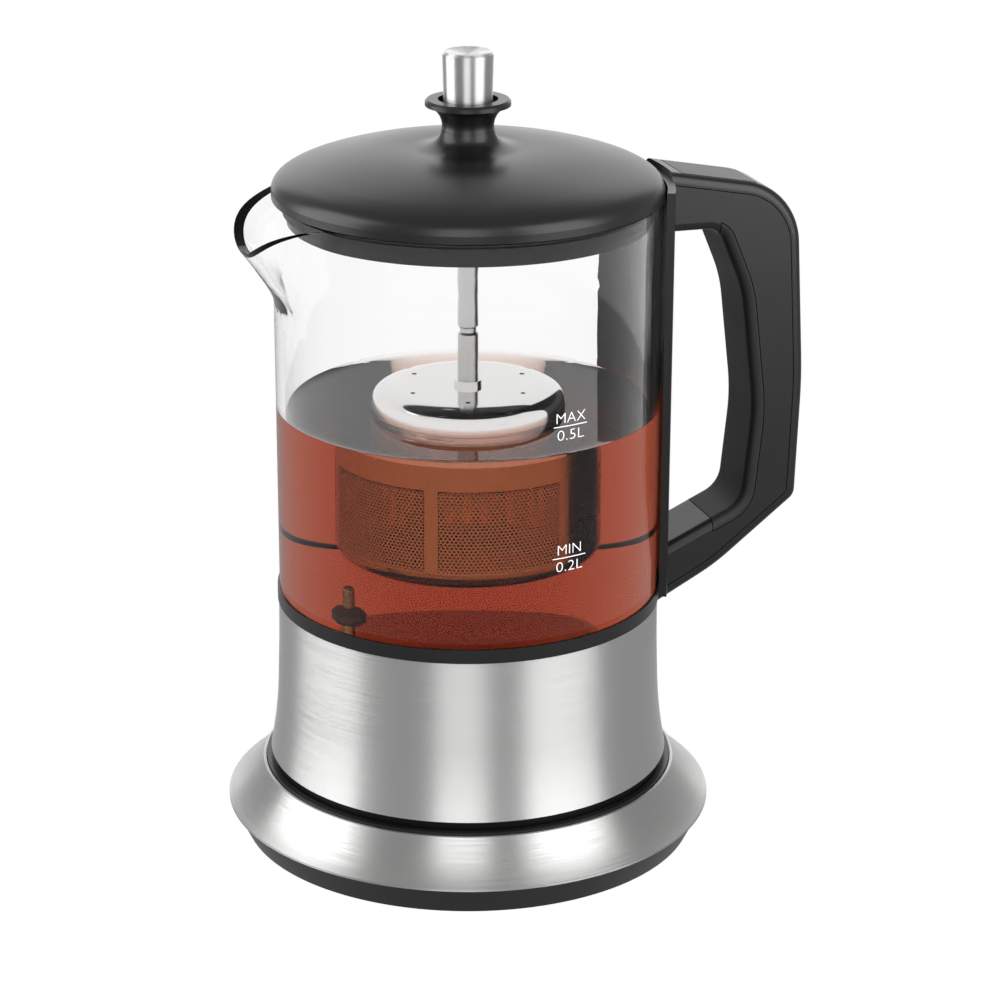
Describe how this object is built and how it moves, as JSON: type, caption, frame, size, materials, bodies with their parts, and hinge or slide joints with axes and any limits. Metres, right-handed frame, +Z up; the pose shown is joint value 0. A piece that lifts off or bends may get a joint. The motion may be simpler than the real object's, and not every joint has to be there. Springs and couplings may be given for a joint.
{
  "type": "automatic tea maker",
  "caption": "Glass tea jug with a lift-out infuser, a black lid and handle, a brushed steel heater body and a round power base.",
  "frame": {"origin": "on the jug's axis, at the base's flat underside that rests on the table", "axes": "+Z up the jug's axis, +X towards the handle, -X towards the pouring spout"},
  "size_m": [0.1665, 0.1424, 0.2244],
  "materials": {
    "black_plastic": "satin moulded",
    "gloss_black": "glossy",
    "rubber": "matt",
    "silicone": "matt",
    "screw_steel": "zinc plated",
    "brushed_steel": "brushed round the axis",
    "polished_steel": "polished",
    "brass": "plain",
    "lead": "insulated",
    "aluminium": "cast",
    "ceramic_white": "plain",
    "board": "lacquered",
    "glass": "clear"
  },
  "bodies": {
    "base": {"base_bottom_plate": "black_plastic", "base_feet": "rubber", "base_screws": "screw_steel", "base_cord_gland": "rubber", "base_deck": "black_plastic", "base_cover_ring": "brushed_steel", "base_socket": "black_plastic", "base_contacts": "brass", "base_leads": "lead"},
    "plug": {"jug_plug": "black_plastic", "plug_contacts": "brass"},
    "jug": {"body_shell": "brushed_steel", "bottom_cap": "black_plastic", "trim_ring": "black_plastic", "body_screws": "screw_steel", "heater_plate": "brushed_steel", "glass_gasket": "silicone", "heat_spreader": "aluminium", "heating_element": "aluminium", "thermostat": "ceramic_white", "temperature_probe": "polished_steel", "probe_seal": "silicone", "control_board": "board", "board_relay": "black_plastic", "element_leads": "lead", "plug_leads": "lead", "glass_jar": "glass", "handle_strap": "black_plastic", "handle_body": "black_plastic", "handle_cover": "black_plastic", "handle_grip": "black_plastic", "handle_screws": "screw_steel", "key_pin": "screw_steel", "microswitch": "board"},
    "key": {"start_key": "gloss_black", "switch_plunger": "ceramic_white"},
    "seal": {"lid_gasket": "silicone"},
    "lid": {"lid_cover": "black_plastic", "lid_plug": "black_plastic", "lid_screws": "screw_steel", "rod_bush": "black_plastic", "lid_collar": "black_plastic"},
    "infuser": {"knob": "brushed_steel", "lift_rod": "polished_steel", "infuser_lid": "polished_steel", "rod_collar": "polished_steel", "rod_nut": "polished_steel"},
    "strainer": {"basket_rim": "polished_steel", "basket": "polished_steel"}
  },
  "joints": [
    {"name": "jug_lift", "type": "slide", "parent": "base", "child": "plug", "axis": [0, 0, 1], "range_m": [0, 0.1]},
    {"name": "jug_swivel", "type": "hinge", "parent": "plug", "child": "jug", "pos_m": [0, 0, 0.0201], "axis": [0, 0, 1], "continuous": true},
    {"name": "key_press", "type": "hinge", "parent": "jug", "child": "key", "pos_m": [0.0798, 0, 0.18054], "axis": [0, -1, 0], "range_deg": [0, 2.4], "stiffness_Nm_per_rad": 0.5},
    {"name": "lid_lift", "type": "slide", "parent": "jug", "child": "seal", "axis": [0, 0, 1], "range_m": [0, 0.12]},
    {"name": "lid_twist", "type": "hinge", "parent": "seal", "child": "lid", "pos_m": [0, 0, 0.1851], "axis": [0, 0, 1], "range_deg": [-24, 0]},
    {"name": "infuser_lift", "type": "slide", "parent": "lid", "child": "infuser", "axis": [0, 0, 1], "range_m": [0, 0.043]},
    {"name": "basket_twist", "type": "hinge", "parent": "infuser", "child": "strainer", "pos_m": [0, 0, 0.12], "axis": [0, 0, 1], "range_deg": [0, 17]}
  ]
}
